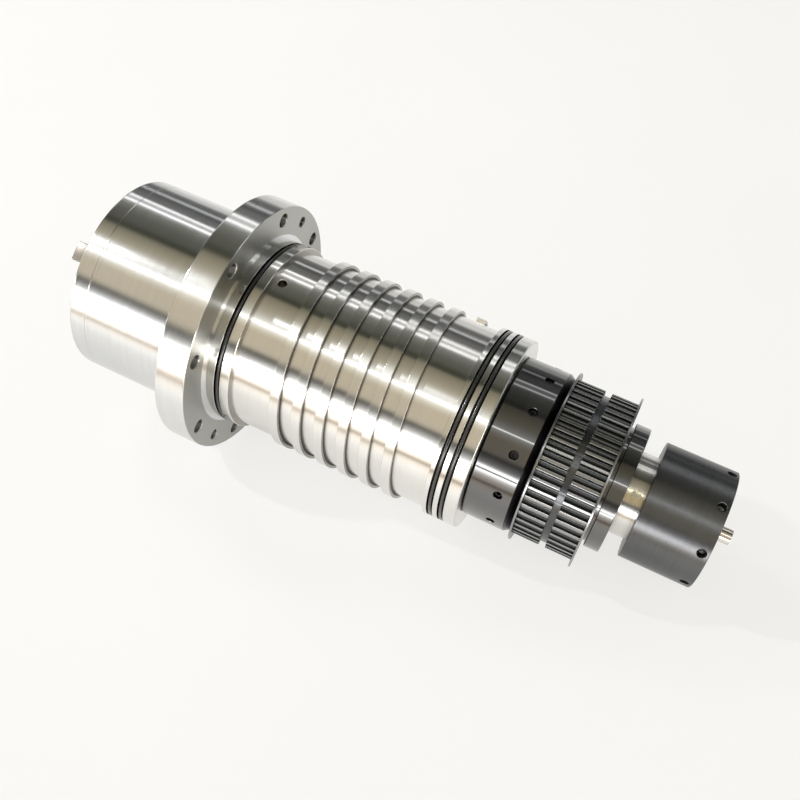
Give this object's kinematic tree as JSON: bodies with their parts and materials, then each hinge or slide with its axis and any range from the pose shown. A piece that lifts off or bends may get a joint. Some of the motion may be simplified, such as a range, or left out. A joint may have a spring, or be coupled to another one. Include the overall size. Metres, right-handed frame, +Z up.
{
  "type": "machine tool spindle",
  "caption": "Belt-driven tool spindle in a flanged cartridge, with a taper nose, a helical coolant groove, a two-row timing pulley, a release collar and a sprung drawbar.",
  "frame": {"origin": "centre of the flange's mounting face, on the spindle axis", "axes": "+X along the spindle axis from the nose to the rear, +Z up as the spindle lies in the picture"},
  "size_m": [0.5517, 0.21, 0.21],
  "materials": {
    "ground_steel": "polished",
    "turned_steel": "satin",
    "bearing_steel": "polished",
    "hard_steel": "satin",
    "black_oxide": "gloss",
    "dark_steel": "satin",
    "seal_rubber": "satin"
  },
  "bodies": {
    "housing": {"housing": "ground_steel", "mounting_flange": "ground_steel", "nose_cap": "turned_steel", "seal_rings": "seal_rubber", "bearing_outer_rings": "bearing_steel", "rear_bearing_cover": "turned_steel"},
    "rotor": {"spindle_nose": "turned_steel", "spindle_shaft": "turned_steel", "drive_keys": "hard_steel", "bearing_inner_rings": "bearing_steel", "front_lock_nut": "black_oxide", "balance_ring": "black_oxide", "timing_pulley": "dark_steel", "pulley_key": "hard_steel", "pulley_flanges": "dark_steel", "pulley_lock_nut": "black_oxide", "unclamp_collar": "dark_steel"},
    "ball_sets": {"bearing_ball_sets": "bearing_steel"},
    "drawbar": {"drawbar": "bearing_steel", "disc_springs": "hard_steel"},
    "finger_1": {"gripper_finger_1": "hard_steel"},
    "finger_2": {"gripper_finger_2": "hard_steel"},
    "finger_3": {"gripper_finger_3": "hard_steel"},
    "finger_4": {"gripper_finger_4": "hard_steel"}
  },
  "joints": [
    {"name": "spindle_spin", "type": "hinge", "parent": "housing", "child": "rotor", "pos_m": [0, 0, 0], "axis": [1, 0, 0], "continuous": true},
    {"name": "ball_set_spin", "type": "hinge", "parent": "housing", "child": "ball_sets", "pos_m": [0, 0, 0], "axis": [1, 0, 0], "continuous": true},
    {"name": "drawbar_slide", "type": "slide", "parent": "rotor", "child": "drawbar", "axis": [-1, 0, 0], "range_m": [0, 0.0065], "stiffness_N_per_m": 20000, "springref_m": -0.02, "deforming": ["disc_springs"]},
    {"name": "finger_1_rock", "type": "hinge", "parent": "drawbar", "child": "finger_1", "pos_m": [-0.0233, -0.008, 0.00025], "axis": [0, 0.0314, 0.9995], "range_deg": [0, 5.2]},
    {"name": "finger_2_rock", "type": "hinge", "parent": "drawbar", "child": "finger_2", "pos_m": [-0.0233, -0.00025, -0.008], "axis": [0, -0.9995, 0.0314], "range_deg": [0, 5.2]},
    {"name": "finger_3_rock", "type": "hinge", "parent": "drawbar", "child": "finger_3", "pos_m": [-0.0233, 0.008, -0.00025], "axis": [0, -0.0314, -0.9995], "range_deg": [0, 5.2]},
    {"name": "finger_4_rock", "type": "hinge", "parent": "drawbar", "child": "finger_4", "pos_m": [-0.0233, 0.00025, 0.008], "axis": [0, 0.9995, -0.0314], "range_deg": [0, 5.2]}
  ],
  "couplings": [
    {"joint": "ball_set_spin", "follows": "spindle_spin", "ratio": 0.437},
    {"joint": "finger_1_rock", "follows": "drawbar_slide", "rad_per_m": 13.43},
    {"joint": "finger_2_rock", "follows": "drawbar_slide", "rad_per_m": 13.43},
    {"joint": "finger_3_rock", "follows": "drawbar_slide", "rad_per_m": 13.43},
    {"joint": "finger_4_rock", "follows": "drawbar_slide", "rad_per_m": 13.43}
  ]
}
